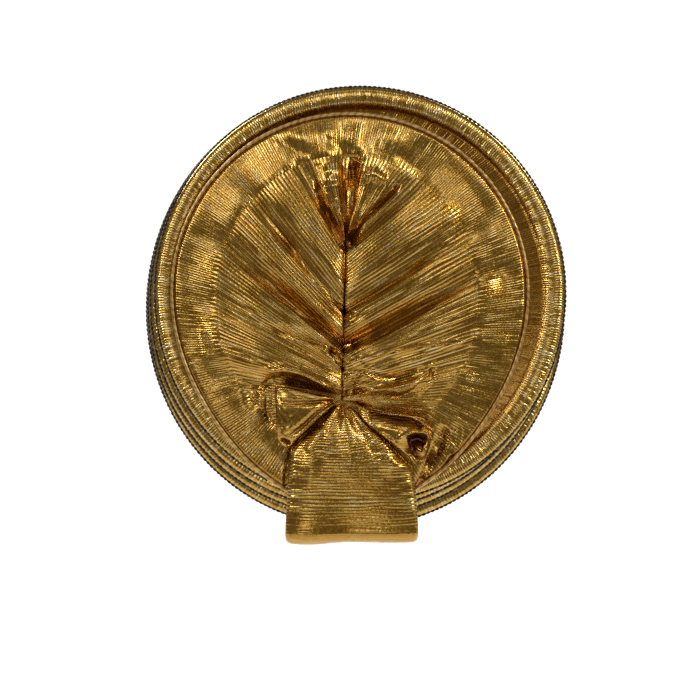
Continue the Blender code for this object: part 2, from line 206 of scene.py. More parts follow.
# Nape band, from the gathered point down over the nape and up again inside
BandRow = namedtuple("BandRow", "z height left right puff")
NAPE_BAND = table(BandRow, [
    (-73.6, 3.4, -11.2, -2.8, 0.3),
    (-77.5, 7.0, -15.8, 1.6, 0.9),
    (-83.0, 9.4, -21.0, 7.0, 1.8),
    (-98.0, 12.6, -36.0, 23.0, 3.0),
    (-108.0, 13.6, -43.8, 33.0, 3.4),
    (-118.0, 13.4, -44.6, 42.6, 3.4),
    (-140.0, 11.8, -46.0, 45.6, 3.0),
    (-160.0, 9.6, -47.2, 47.0, 2.0),
    (-168.5, 7.6, -47.4, 47.0, 1.4),
    (-172.0, 3.2, -47.2, 46.8, 0.8),
    (-172.6, -16.0, -46.0, 45.5, 0.4),
    (-171.8, -38.0, -45.0, 44.5, 0.3),
    (-168.8, -43.6, -45.0, 44.5, 0.3),
    (-160.0, -45.2, -44.0, 43.5, 0.3),
    (-108.0, -45.0, -38.0, 37.5, 0.3),
])
BAND_CLOTH = 2 * MM

# Ear folds: flattened tubes of cloth between an upper and a lower edge
FoldRow = namedtuple("FoldRow", "upper_x upper_z lower_x lower_z height half_thickness")
LEFT_EAR = table(FoldRow, [
    (-12.6, -69.0, -13.0, -75.0, 7.4, 2.6),
    (-23.0, -66.9, -23.4, -83.9, 10.2, 3.8),
    (-34.0, -64.6, -35.4, -95.5, 11.9, 4.8),
    (-45.0, -61.8, -45.9, -104.3, 12.0, 5.4),
    (-54.6, -61.6, -52.6, -99.5, 10.3, 5.2),
])
RIGHT_EAR = table(FoldRow, [
    (2.2, -72.4, 3.0, -77.2, 6.4, 2.6),
    (13.0, -78.6, 8.3, -85.4, 9.6, 3.6),
    (27.0, -80.6, 19.9, -95.3, 12.0, 4.8),
    (42.0, -81.6, 34.0, -106.4, 14.0, 6.2),
    (58.5, -92.0, 50.5, -116.5, 13.4, 7.2),
])
FOLD_CLOTH = 1.8 * MM

# Creases and ridges of the ear folds and of the nape band, in mm like those of the panel
LEFT_EAR_CREASES = table(Crease, [
    ("top_ridge", -2.6, 1.5, 1.5, 3, 3,
     [(-9.9, -70.1), (-22.5, -68.7), (-36.6, -65.2), (-47.2, -62.4), (-54.3, -61.0)]),
    ("under_ridge", 2.8, 0.9, 2.2, 4, 4, [(-11.3, -71.6), (-29.6, -72.3), (-51.5, -71.6)]),
    ("strip", -2.2, 1.8, 1.6, 3, 3, [(-9.9, -73.7), (-22.5, -82.8), (-33.8, -92.7), (-41.6, -99.8)]),
    ("above_strip", 2.4, 2.6, 0.8, 4, 4,
     [(-14.1, -73.0), (-24.7, -80.0), (-35.2, -89.9), (-43.0, -95.5), (-49.3, -96.9)]),
    ("slit", 6.0, 1.3, 1.3, 0, 0, [(-48.6, -99.0), (-45.1, -100.5), (-43.0, -106.8)]),
    ("edge_ridge", -1.2, 1.6, 1.6, 4, 4, [(-52.9, -62.4), (-52.2, -79.3), (-51.5, -94.8)]),
])
RIGHT_EAR_CREASES = table(Crease, [
    ("upper_ridge", -2.4, 1.6, 1.8, 3, 4,
     [(-2.8, -73.0), (12.7, -76.5), (33.9, -79.3), (47.9, -82.8), (55.7, -89.2)]),
    ("hollow", 6.0, 1.4, 5.0, 6, 4, [(9.9, -79.3), (26.8, -82.8), (40.9, -84.9), (51.5, -89.9)]),
    ("lower_strip", -2.6, 2.2, 1.8, 3, 6, [(-2.8, -76.5), (7.1, -85.7), (19.8, -95.5), (30.3, -101.2)]),
    ("mouth_lip", -2.4, 1.5, 1.5, 4, 4,
     [(29.6, -101.2), (35.3, -96.9), (42.3, -93.4), (49.4, -92.7), (55.0, -95.5), (57.1, -101.9),
      (55.0, -108.2), (50.8, -114.6)]),
    ("mouth", 12.0, 3.4, 4.4, 1, 1, [(39.5, -100.5), (45.8, -98.3), (52.2, -100.5)]),
    ("mouth_floor", 6.0, 4.4, 4.4, 0, 2, [(41.6, -104.7), (44.4, -109.6), (46.5, -114.6)]),
])
BAND_CREASES = table(Crease, [
    ("long_crease", 1.8, 2.2, 2.6, 3, 12,
     [(-5.6, -73.7), (0.0, -81.4), (7.1, -93.4), (14.8, -107.5), (20.5, -118.1)]),
    ("left_crease", 1.0, 2.0, 2.0, 3, 12, [(-8.4, -74.4), (-14.1, -84.9), (-19.0, -100.5)]),
    ("middle_puff", -1.6, 5.0, 5.0, 6, 14, [(-4.2, -79.3), (-1.4, -99.0), (0.0, -117.4)]),
    ("left_puff", -1.4, 6.0, 6.0, 8, 20, [(-18.3, -88.5), (-28.2, -107.5), (-31.0, -134.3)]),
    ("right_puff", -1.4, 6.0, 6.0, 8, 20, [(11.3, -90.6), (25.4, -107.5), (32.4, -134.3)]),
    ("shoulder", -1.2, 3.5, 3.5, 5, 5, [(18.3, -107.5), (29.6, -114.6), (41.6, -122.3)]),
    ("left_bright", -1.0, 4.0, 4.0, 5, 5, [(-18.3, -87.8), (-25.4, -99.0), (-32.4, -109.6)]),
])

# Ribs of the cloth: how far apart, and how high
RIB_PITCH = 1.8 * MM
RIB_HEIGHT = 0.6 * MM
CENTRE_RIB_SHARE = 0.25
BORDER_RIB_SHARE = 0.28
BAND_KNOT_PITCH = 1.5 * MM
BAND_RIB_PITCH = 2.4 * MM
BAND_RIB_LENGTH = 70 * MM
BAND_RIB_HEIGHT = 0.6 * MM
EAR_RIB_HEIGHT = 0.4 * MM

# Colours of the cloth, in linear light. The gold and the piping's pale colour are the cloth's own. The darker
# colours are painted shade for rib valleys, creases and pits, and the palest is a painted highlight on rib
# crests. The crease numbers set how far cloth sunk in a crease steps down into painted shade.
CREASE_SHADE = 0.38
EAR_SHADE_SHARE = 2.2
CREASE_SHADE_START = 1.0 * MM
CREASE_SHADE_DEPTH = 6 * MM
DEEP_PAINTED_SHADE = (0.11, 0.03, 0.002, 1.0)
SHADED = (0.22, 0.065, 0.002, 1.0)
VALLEY_PAINTED_SHADE = (0.36, 0.15, 0.006, 1.0)
GOLD = (0.64, 0.39, 0.065, 1.0)
CREST_PAINTED_HIGHLIGHT = (1.0, 0.90, 0.64, 1.0)
PIPING_PAINTED_SHADE = (0.42, 0.22, 0.04, 1.0)
PIPING_PALE = (0.80, 0.53, 0.19, 1.0)


# Noise and grids

LATTICE_COLUMNS = 2048
LATTICE_ROWS = 512
SHORTEST_NORMAL = 1e-12
WELD_DISTANCE = 0.003 * MM


@lru_cache(maxsize=None)
def lattice(seed):
    return np.random.default_rng(seed).uniform(-1, 1, (LATTICE_COLUMNS, LATTICE_ROWS))


def eased(share):
    """From 0 to 1, flat at both ends."""
    share = np.clip(share, 0.0, 1.0)
    return share * share * (3 - 2 * share)


def smooth_noise(u, v, seed, period=LATTICE_COLUMNS):
    """Smooth noise from -1 to 1 over a plane, which repeats after period steps of u."""
    values = lattice(seed)
    column = np.floor(u).astype(int)
    row = np.floor(v).astype(int)
    across = eased(u - column)
    along = eased(v - row)
    first = column % period
    second = (column + 1) % period
    near = row % LATTICE_ROWS
    far = (row + 1) % LATTICE_ROWS
    low = values[first, near] * (1 - across) + values[second, near] * across
    high = values[first, far] * (1 - across) + values[second, far] * across
    return low * (1 - along) + high * along


def curve_through(value, stations, levels):
    """A smooth curve through the levels at the stations."""
    stations = np.asarray(stations, float)
    levels = np.asarray(levels, float)
    slopes = np.gradient(levels, stations)
    index = np.clip(np.searchsorted(stations, value, side="right") - 1, 0, len(stations) - 2)
    width = stations[index + 1] - stations[index]
    t = np.clip((value - stations[index]) / width, 0.0, 1.0)
    return (
        (2 * t**3 - 3 * t**2 + 1) * levels[index]
        + (t**3 - 2 * t**2 + t) * width * slopes[index]
        + (3 * t**2 - 2 * t**3) * levels[index + 1]
        + (t**3 - t**2) * width * slopes[index + 1]
    )


def next_along(grid, axis, wraps):
    """The grid moved one step along an axis, and cut to the steps that exist."""
    if wraps:
        return np.roll(grid, -1, axis)
    return np.take(grid, range(1, grid.shape[axis]), axis)


def grid_faces(shape, wrap_rows, wrap_columns):
    index = np.arange(shape[0] * shape[1]).reshape(shape)
    below = next_along(index, 0, wrap_rows)
    rows = below.shape[0]
    right = next_along(index, 1, wrap_columns)
    columns = right.shape[1]
    corner = next_along(below, 1, wrap_columns)
    return np.stack(
        [index[:rows, :columns], right[:rows], corner, below[:, :columns]], axis=-1
    ).reshape(-1, 4)


def volume_sign(points, faces):
    corners = points.reshape(-1, 3)[faces] - points.reshape(-1, 3).mean(axis=0)
    a, b, c, d = (corners[:, k] for k in range(4))
    return np.sign((a * np.cross(b, c)).sum() + (a * np.cross(c, d)).sum())


def unit(vectors):
    return vectors / np.maximum(np.linalg.norm(vectors, axis=-1, keepdims=True), SHORTEST_NORMAL)


def outward(points):
    """Unit normals of a grid that closes both ways, pointing out of it."""
    along = np.roll(points, -1, 0) - np.roll(points, 1, 0)
    across = np.roll(points, -1, 1) - np.roll(points, 1, 1)
    return unit(np.cross(across, along)) * volume_sign(points, grid_faces(points.shape[:2], True, True))


def grid_object(name, points, cloth, crest, rows_close=True, weld=False):
    """A mesh over a grid of points. Its columns close on themselves. Its rows do too, or else each end is
    filled. cloth gives each point's place on the cloth."""
    faces = grid_faces(points.shape[:2], rows_close, True)
    places = grid_faces(cloth.shape[:2], False, False)
    if volume_sign(points, faces) < 0:
        faces = faces[:, ::-1]
        places = places[:, ::-1]
    data = bpy.data.meshes.new(name)
    data.from_pydata(points.reshape(-1, 3).tolist(), [], faces.tolist())
    layer = data.uv_layers.new(name="cloth")
    layer.uv.foreach_set("vector", cloth.reshape(-1, 2)[places].astype(np.float32).ravel())
    # The crest attribute carries the colour level: painted highlight where it is high, painted shade where it
    # is low.
    shade = data.attributes.new("crest", "FLOAT", "POINT")
    shade.data.foreach_set("value", crest.astype(np.float32).ravel())
    if weld or not rows_close:
        close_mesh(data, weld, not rows_close)
    data.shade_smooth()
    return add_object(name, data)


def add_object(name, data):
    obj = bpy.data.objects.new(name, data)
    bpy.context.scene.collection.objects.link(obj)
    return obj


def close_mesh(data, weld, fill):
    """Joins points that meet, or fills open ends and turns the faces outward."""
    mesh = bmesh.new()
    mesh.from_mesh(data)
    if weld:
        bmesh.ops.remove_doubles(mesh, verts=mesh.verts, dist=WELD_DISTANCE)
    if fill:
        open_edges = [edge for edge in mesh.edges if edge.is_boundary]
        bmesh.ops.holes_fill(mesh, edges=open_edges, sides=0)
        bmesh.ops.recalc_face_normals(mesh, faces=mesh.faces)
    mesh.to_mesh(data)
    mesh.free()


# Ribs

RIB_WANDER = 0.20
RIB_WANDER_LENGTH = 14 * MM
RIB_ROUNDNESS = 0.8
RIB_SWELL = 0.30
RIB_SWELL_LENGTH = 10 * MM
RIB_GRAIN = 0.12
RIB_GRAIN_LENGTH = 2.2 * MM


def ribs(count, along, seed, period=LATTICE_COLUMNS // 2):
    """Height from 0 to 1 of the cloth's ribs. count is the place across in ribs, along is in metres."""
    wander = RIB_WANDER * smooth_noise(count / 2, along / RIB_WANDER_LENGTH, seed, period // 2)
    ridge = np.abs(np.cos(pi * (count + wander))) ** RIB_ROUNDNESS
    swell = smooth_noise(count, along / RIB_SWELL_LENGTH, seed + 1, period)
    grain = smooth_noise(count * 2, along / RIB_GRAIN_LENGTH, seed + 2, 2 * period)
    return ridge * (1 - RIB_SWELL + RIB_SWELL * swell) * (1 - RIB_GRAIN + RIB_GRAIN * grain)


def cloth_places(across, along, turn=0.0, rows_close=True, row_turn=0.0):
    """Each grid point's place on the cloth, in ribs across and rib pitches along. One more column, and one
    more row if rows close too, ends the way round; turn and row_turn are what that way adds."""
    places = np.stack(np.broadcast_arrays(across, along), axis=-1)
    places = np.concatenate([places, places[:, :1] + np.array([turn, 0.0])], axis=1)
    if rows_close:
        places = np.concatenate([places, places[:1] + np.array([0.0, row_turn])], axis=0)
    return places


# Which side of an upright crease counts as its first, and the shortest fade, in mm
UPRIGHT_LEAN = 0.3
SHORTEST_FADE = 0.01


def creased(x, z, creases):
    """How far creases and ridges lower or raise a surface at x, z. All in metres."""
    total = np.zeros(np.broadcast(x, z).shape)
    for crease in creases:
        line = np.array(crease.line) * MM
        pieces = np.diff(line, axis=0)
        lengths = np.linalg.norm(pieces, axis=1)
        starts = np.concatenate([[0.0], np.cumsum(lengths)])
        nearest = np.full(total.shape, np.inf)
        side = np.zeros(total.shape)
        travelled = np.zeros(total.shape)
        for start, step, length, before in zip(line, pieces, lengths, starts):
            share = np.clip(((x - start[0]) * step[0] + (z - start[1]) * step[1]) / length**2, 0, 1)
            away_x = x - start[0] - share * step[0]
            away_z = z - start[1] - share * step[1]
            distance = np.hypot(away_x, away_z)
            turn = np.sign(UPRIGHT_LEAN * -step[1] + step[0]) or 1.0
            closer = distance < nearest
            nearest = np.where(closer, distance, nearest)
            side = np.where(closer, turn * (away_z * step[0] - away_x * step[1]), side)
            travelled = np.where(closer, before + share * length, travelled)
        width = np.where(side >= 0, crease.first_width, crease.second_width) * MM
        strength = eased(travelled / (max(crease.fade_in, SHORTEST_FADE) * MM))
        strength *= eased((starts[-1] - travelled) / (max(crease.fade_out, SHORTEST_FADE) * MM))
        if crease.fade_in == 0:
            strength = np.where(travelled < starts[-1] / 2, 1.0, strength)
        width = width * (CREASE_END_WIDTH + (1 - CREASE_END_WIDTH) * strength)
        if crease.depth > 0:
            shape = np.clip(1 - nearest / (CREASE_REACH * width), 0, 1) ** CREASE_POWER
        else:
            shape = np.exp(-((nearest / width) ** 2))
        total -= crease.depth * MM * strength * shape
    return total


def crease_shade(sunk):
    """Painted shade: cloth down in a crease gets a darker colour, a step down the colour scale by how far it
    is sunk.
    """
    return CREASE_SHADE * np.clip((-sunk - CREASE_SHADE_START) / CREASE_SHADE_DEPTH, 0, 2)


# Back panel

def oval_point(angle):
    x = OVAL_CENTRE[0] + OVAL_HALF_WIDTH * np.sin(np.radians(angle))
    z = OVAL_CENTRE[1] + OVAL_HALF_HEIGHT * np.cos(np.radians(angle))
    return x, z


def rim_point(angle, inset):
    from_nape = np.abs(angle) - NAPE_ANGLE
    reach = PANEL_NAPE_REACH * np.exp(-((from_nape / PANEL_NAPE_SPREAD) ** 2))
    radius = PANEL_RADIUS + reach - inset
    x = PANEL_CENTRE[0] + radius * np.sin(np.radians(angle))
    z = PANEL_CENTRE[1] + radius * np.cos(np.radians(angle))
    return x, z


def panel_height(x, z):
    across = (x - OVAL_CENTRE[0]) / OVAL_HALF_WIDTH
    up = (z - OVAL_CENTRE[1]) / OVAL_HALF_HEIGHT
    inside = np.maximum(0.0, 1 - across**2 - up**2)
    from_knot = ((x - KNOT[0]) ** 2 + (z - KNOT[1]) ** 2) / KNOT_DIMPLE_RADIUS**2
    return OVAL_HEIGHT + BULGE * inside**BULGE_POWER - KNOT_DIMPLE * np.exp(-from_knot)


def out_of_panel(x, z, height):
    return np.stack([x, PANEL_PLANE_Y - height, z], axis=-1)


PLEAT_RIBS = 216
CENTRE_COLUMNS = 6
BORDER_COLUMNS = 4
PANEL_SEED = 11
TUCK_DEPTH = 0.25 * MM
TUCK_LENGTH = 1.6 * MM
# Colour level on the side of the cloth that doesn't show
BACK_CREST = 0.4


def pleat_columns(angle):
    """For each angle at the oval, clockwise from the pinch, the line of cloth that ends there: its drop,
    its angle at the oval and its relief."""
    right = [(0.0, PINCH_ANGLE, PINCH_MM)] + [(row.drop, row.right_oval, row.right_mm) for row in PLEATS]
    left = [(0.0, PINCH_ANGLE, PINCH_MM)] + [(row.drop, -row.left_oval, row.left_mm) for row in PLEATS]
    right = np.array(right + [(1.0, NAPE_ANGLE, NAPE_MM)])
    left = np.array(left + [(1.0, -NAPE_ANGLE, NAPE_MM)])
    down = angle[angle <= NAPE_ANGLE]
    up = angle[angle > NAPE_ANGLE] - 360
    right_place = np.interp(down, right[:, 1], np.arange(len(right)))
    left_place = np.interp(up, left[::-1, 1], np.arange(len(left))[::-1])
    return np.concatenate([columns_at(right, right_place), columns_at(left, left_place)])


def columns_at(rows, place):
    """The rows at fractional places: straight in drop and angle, rounded in relief."""
    index = np.minimum(place.astype(int), len(rows) - 2)
    share = (place - index)[:, None]
    start = rows[index]
    end = rows[index + 1]
    columns = start + (end - start) * share
    columns[:, 2] = start[:, 2] + (end - start)[:, 2] * eased(share[:, 0])
    return columns


RELIEF_STATIONS = [0.0, 0.10, 0.30, 0.55, 0.80, 1.0]
RELIEF_LEVELS = [0.55, 1.0, 1.1, 1.0, 0.80, 0.60]
PLEAT_ROWS = 60
BACK_STATIONS = [1.0, 0.8, 0.55, 0.3, 0.1, 0.0]
SEAM_EASE = 2.2 * MM
RIB_FADE_PITCH = 0.35 * MM
EDGE_STEP = 0.002

# Waves of the cloth: how deep, how many ribs wide, how many along a line of cloth, and the seed
Waves = namedtuple("Waves", "depth ribs rate seed")
SAG = Waves(1.8 * MM, 12, 3.1, 41)
BUNDLE = Waves(1.3 * MM, 4, 2.2, 43)
FLUTE = Waves(1.8 * MM, 8, 1.7, 57)


def wave_heights(waves, count, along):
    period = PLEAT_RIBS // waves.ribs
    return waves.depth * smooth_noise(count / waves.ribs, along * waves.rate, waves.seed, period)


def build_pleated_centre(material):
    """The pleated cloth inside the oval: lines of cloth run from the middle seam out to the stitching."""
    count = np.arange(PLEAT_RIBS * CENTRE_COLUMNS) / CENTRE_COLUMNS
    drop, oval, relief = pleat_columns(PINCH_ANGLE + 360 * count / PLEAT_RIBS).T
    front = np.append(np.linspace(0, 1 - EDGE_STEP, PLEAT_ROWS - 1), 1)
    along = np.concatenate([front, BACK_STATIONS])[:, None]
    is_front = (np.arange(len(along)) < PLEAT_ROWS)[:, None]
    x, z, length = between(between(SEAM_TOP, KNOT, drop), oval_point(oval), along)
    window = curve_through(along, RELIEF_STATIONS, RELIEF_LEVELS)
    sunk = creased(x, z, PANEL_CREASES)
    waves = wave_heights(SAG, count, along) + wave_heights(BUNDLE, count, along)
    height = panel_height(x, z) + relief * MM * window
    height = height + sunk + waves * np.sin(pi * along)
    height = height - TUCK_DEPTH * np.exp(-(((1 - along) * length) / TUCK_LENGTH) ** 2)
    rib = ribs(count, (along - 1) * length, PANEL_SEED, PLEAT_RIBS) * eased(along * length / SEAM_EASE)
    rib_height = rib_heights(x, z, CENTRE_COLUMNS, CENTRE_RIB_SHARE)
    height = height + np.where(is_front, rib_height * rib, -PANEL_CLOTH)
    points = out_of_panel(x, z, height)
    # Colour level: painted highlight on rib crests, painted shade in rib valleys and down in creases.
    crest = np.where(is_front, rib - crease_shade(sunk), BACK_CREST)
    cloth = cloth_places(count, along * length / RIB_PITCH, PLEAT_RIBS)
    piece = grid_object("pleated_centre", points, cloth, crest, weld=True)
    finish_piece(piece, material, "back_panel")


def between(inner, outer, share):
    """Points on the way from an inner line to an outer one, and the length of that way."""
    step_x = outer[0] - inner[0]
    step_z = outer[1] - inner[1]
    return inner[0] + step_x * share, inner[1] + step_z * share, np.hypot(step_x, step_z)


def rib_heights(x, z, columns, share):
    """Ribs that lie closer together are lower, and those that run together into a point fade out."""
    pitch = columns * np.hypot(np.roll(x, -1, 1) - x, np.roll(z, -1, 1) - z)
    return share * pitch * eased((pitch - RIB_FADE_PITCH) / RIB_FADE_PITCH)


BORDER_ROWS = 15
BORDER_BACK = [1.0, 0.5, 0.0]
BORDER_SLOPE = 1.25
FLUTE_ROUNDNESS = 0.8
RELIEF_FALL = 1.5
SPLIT_LENGTH = 7 * MM
SPLIT_SEED = PANEL_SEED + 12
PIPING_GAP = 0.1 * MM
PIPING_EASE = 2 * MM


def build_pleated_border(material):
    """The ring of radial ribs between the oval stitching and the piping: each rib splits into two."""
    columns = PLEAT_RIBS * 2 * BORDER_COLUMNS
    count = np.arange(columns) / (2 * BORDER_COLUMNS)
    angle = PINCH_ANGLE + 360 * count / PLEAT_RIBS
    front = np.concatenate([[0.0], np.linspace(EDGE_STEP, 1, BORDER_ROWS - 1)])
    out = np.concatenate([front, BORDER_BACK])[:, None]
    is_front = (np.arange(len(out)) < BORDER_ROWS)[:, None]
    x, z, length = between(oval_point(angle), rim_point(angle, 2 * PIPING_RADIUS + PIPING_GAP), out)
    flutes = wave_heights(FLUTE, count, out) * np.sin(pi * out) ** FLUTE_ROUNDNESS
    sunk = creased(x, z, PANEL_CREASES)
    height = OVAL_HEIGHT * (1 - out**BORDER_SLOPE) + flutes + sunk
    height += pleat_columns(angle)[:, 2] * MM * RELIEF_LEVELS[-1] * (1 - out) ** RELIEF_FALL
    wide = ribs(count, out * length, PANEL_SEED, PLEAT_RIBS)
    narrow = ribs(2 * count, out * length, SPLIT_SEED, 2 * PLEAT_RIBS)
    split = eased(out * length / SPLIT_LENGTH)
    rib = (wide + (narrow - wide) * split) * eased((1 - out) * length / PIPING_EASE)
    height = height - TUCK_DEPTH * np.exp(-((out * length) / TUCK_LENGTH) ** 2)
    share = 2 * CENTRE_RIB_SHARE + (BORDER_RIB_SHARE - 2 * CENTRE_RIB_SHARE) * split
    height = height + np.where(is_front, rib_heights(x, z, BORDER_COLUMNS, share) * rib, -PANEL_CLOTH)
    points = out_of_panel(x, z, height)
    # Colour level: painted highlight on rib crests, painted shade in rib valleys and down in creases.
    crest = np.where(is_front, rib - crease_shade(sunk), BACK_CREST)
    cloth = cloth_places(2 * count, out * length / RIB_PITCH, 2 * PLEAT_RIBS)
    piece = grid_object("pleated_border", points, cloth, crest)
    finish_piece(piece, material, "back_panel")


PIPING_STEPS = 620
PIPING_SIDES = 10
STEPS_PER_CREASE = 4
PIPING_SEED = 71
PIPING_CREASE = 0.10


def build_piping(material):
    """Cloth rolled over a cord: a tube with fine slanting creases."""
    angle = -180 + 360 * np.arange(PIPING_STEPS) / PIPING_STEPS
    around = 2 * pi * np.arange(PIPING_SIDES)[:, None] / PIPING_SIDES
    slant = np.arange(PIPING_STEPS) / STEPS_PER_CREASE + around / (2 * pi)
    crease = ribs(slant, 0 * slant, PIPING_SEED, PIPING_STEPS // STEPS_PER_CREASE)
    radius = PIPING_RADIUS * (1 - PIPING_CREASE + PIPING_CREASE * crease)
    centre_x, centre_z = rim_point(angle, PIPING_RADIUS)
    x = centre_x + radius * np.cos(around) * np.sin(np.radians(angle))
    z = centre_z + radius * np.cos(around) * np.cos(np.radians(angle))
    height = -PANEL_CLOTH / 2 + radius * np.sin(around)
    points = out_of_panel(x, z, height)
    cloth = cloth_places(slant, around / (2 * pi), PIPING_STEPS / STEPS_PER_CREASE, row_turn=1.0)
    # The crease depth is also the colour level: painted shade down in the creases.
    piece = grid_object("piping", points, cloth, crease)
    finish_piece(piece, material, "panel_piping")


# Crown wall and rim layers

def crown_point(angle, y, offset):
    narrowing = 1 - CROWN_TAPER * (y / CROWN_DEPTH_TOP) ** 2
    x = OVAL_CENTRE[0] + (CROWN_HALF_WIDTH * narrowing + offset) * np.sin(angle)
    z = OVAL_CENTRE[1] + (CROWN_HALF_HEIGHT * narrowing + offset) * np.cos(angle)
    return np.stack([x, PANEL_PLANE_Y + y, z], axis=-1)


CROWN_RIBS = 230
CROWN_COLUMNS = 4
CROWN_ROWS = 26
CROWN_INSIDE = [1.0, 0.66, 0.33, 0.0]
CROWN_SEED = 31
CROWN_RIB_SHARE = 0.7
CROWN_RIB_SINK = 0.6
CROWN_EDGE_EASE = 3 * MM
CROWN_INSIDE_CREST = 0.35


def build_crown_wall(material):
    """A ribbed outside and a plain inside, joined along the front edge."""
    count = np.arange(CROWN_RIBS * CROWN_COLUMNS) / CROWN_COLUMNS
    angle = 2 * pi * count / CROWN_RIBS
    depth = CROWN_DEPTH_NAPE + (CROWN_DEPTH_TOP - CROWN_DEPTH_NAPE) * (1 + np.cos(angle)) / 2
    share = np.concatenate([np.linspace(0, 1, CROWN_ROWS), CROWN_INSIDE])[:, None]
    is_outer = (np.arange(len(share)) < CROWN_ROWS)[:, None]
    y = CROWN_REAR + (depth - CROWN_REAR) * share
    rib = ribs(count, y, CROWN_SEED, CROWN_RIBS) * eased((1 - share) * depth / CROWN_EDGE_EASE)
    offset = np.where(is_outer, RIB_HEIGHT * CROWN_RIB_SHARE * (rib - CROWN_RIB_SINK), -CROWN_CLOTH)
    points = crown_point(angle, y, offset)
    # Colour level from the rib height: painted highlight on crests, painted shade in valleys.
    crest = np.where(is_outer, rib, CROWN_INSIDE_CREST)
    cloth = cloth_places(count, y / RIB_PITCH, CROWN_RIBS)
    piece = grid_object("crown_cloth", points, cloth, crest)
    finish_piece(piece, material, "crown_wall")


def rim_edge(rim, angle, inset):
    height = np.where(np.cos(angle) > 0, rim.above, rim.below)
    x = rim.centre_x * MM + (rim.half_width * MM - inset) * np.sin(angle)
    z = rim.centre_z * MM + (height * MM - inset) * np.cos(angle)
    lift = (1 + np.cos(angle)) / 2
    y = PANEL_PLANE_Y + (rim.nape_y + (rim.top_y - rim.nape_y) * lift) * MM
    return np.stack([x, y + 0 * x, z], axis=-1)


# A rim's section from its edge to its waist: how far in each point lies and half the thickness there. The
# web goes on from the waist to the crown wall. All in mm.
RIM_INWARD = [0.0, 0.7, 1.8, 3.4, 5.6, 8.2, 10.8, 12.9, 14.5, 15.6, 17.2]
RIM_HALF = [1.3, 2.4, 3.3, 4.1, 4.6, 4.7, 4.4, 3.6, 2.5, 1.8, 1.6]
RIM_WEB_SHARES = [0.30, 0.72, 1.0]
RIM_WEB_LENGTH = 40
RIM_WEB_POWER = 2.5
FIRST_RIM_RIBS = 512
FIRST_RIM_COLUMNS = 4
RIM_RIBS = 384
RIM_COLUMNS = 3
ROOT_CLEARANCE = 0.35 * MM
ROOT_ALONG = 57 * MM
ROOT_EASE = 6 * MM
ROLL_EASE = 1.5 * MM
UNDERSIDE_SHIFT = 0.2
RIM_RIB_SHARE = 0.9
RIM_RIB_SINK = 0.5
RIM_SEED_STEP = 100
SWELL_HEIGHT = 0.5 * MM
SWELL_RIBS = 16
SWELL_LENGTH = 30 * MM
SWELL_SEED = 7
# Colour of the rims: painted shade on the web down in the groove, painted highlight over the roll and along
# its outer edge
GROOVE_START = 13 * MM
GROOVE_EASE = 3 * MM
GROOVE_SHADE = 0.6
ROLL_PAINTED_HIGHLIGHT = 0.15
EDGE_PAINTED_HIGHLIGHT = 0.9
EDGE_HIGHLIGHT_LENGTH = 1.4 * MM


def build_rim(rim, material, rib_total, columns_per_rib):
    """A padded roll on a web of ribbed cloth, which widens where it meets the crown wall."""
    columns = rib_total * columns_per_rib
    count = np.arange(columns) / columns_per_rib
    angle = 2 * pi * count / rib_total
    squeeze = RIM_NAPE_SQUEEZE + (1 - RIM_NAPE_SQUEEZE) * (1 + np.cos(angle)) / 2
    depth = rim_edge(rim, angle, CLOTH_EDGE_INSET)[:, 1] - PANEL_PLANE_Y
    waist = rim_edge(rim, angle, CLOTH_EDGE_INSET + RIM_INWARD[-1] * MM)
    root = crown_point(angle, depth, ROOT_CLEARANCE)
    rows = []
    along = []
    for inward, half in zip(RIM_INWARD, RIM_HALF):
        rows.append((rim_edge(rim, angle, CLOTH_EDGE_INSET + inward * MM), half * MM * squeeze))
        along.append(np.full(columns, inward * MM))
    for share in RIM_WEB_SHARES:
        half = RIM_WAIST + (RIM_ROOT - RIM_WAIST) * share**RIM_WEB_POWER
        rows.append((waist + (root - waist) * share, half * MM * squeeze))
        along.append(np.full(columns, (RIM_INWARD[-1] + RIM_WEB_LENGTH * share) * MM))
    up = [point + np.stack([0 * half, -half, 0 * half], -1) for point, half in rows]
    down = [point + np.stack([0 * half, half, 0 * half], -1) for point, half in rows]
    points = np.array(up + down[::-1])
    along = np.array(along + along[::-1])
    is_under = (np.arange(len(along)) >= len(up))[:, None]
    seed = RIM_SEED_STEP * rim.number
    rib = ribs(count, along + is_under * UNDERSIDE_SHIFT, seed, rib_total)
    roll = eased(along / ROLL_EASE)
    off_root = eased((ROOT_ALONG - along) / ROOT_EASE)
    swell = smooth_noise(count / SWELL_RIBS, along / SWELL_LENGTH, seed + SWELL_SEED, rib_total // SWELL_RIBS)
    lift = RIB_HEIGHT * RIM_RIB_SHARE * (rib * roll * off_root - RIM_RIB_SINK)
    lift = lift + SWELL_HEIGHT * swell * off_root * roll
    points = points + outward(points) * lift[..., None]
    # Colour level: painted highlight along the outer edge and over the roll, painted shade on the web in the
    # groove.
    in_groove = eased((along - GROOVE_START) / GROOVE_EASE)
    crest = np.maximum(rib * roll, EDGE_PAINTED_HIGHLIGHT - along / EDGE_HIGHLIGHT_LENGTH)
    crest = crest * (1 - GROOVE_SHADE * in_groove) + ROLL_PAINTED_HIGHLIGHT * (1 - in_groove)
    cloth = cloth_places(count, along / RIB_PITCH, rib_total)
    piece = grid_object(f"rim_cloth_{rim.number}", points, cloth, crest)
    finish_piece(piece, material, f"rim_layer_{rim.number}")


# Trims: chains of small dark stones

STONE_PITCH = 3.5 * MM
STONE_SIDES = 8
STONE_RINGS = 3
STONE_TANGENT = 1.74 * MM
STONE_OUT = 1.12 * MM
STONE_DEEP = 1.45 * MM
CHAIN_RADIUS = 0.55 * MM
CHAIN_SIDES = 5
EDGE_SAMPLES = 4000
SMALL_TURN = 0.002
STONE_SPREAD = 0.06


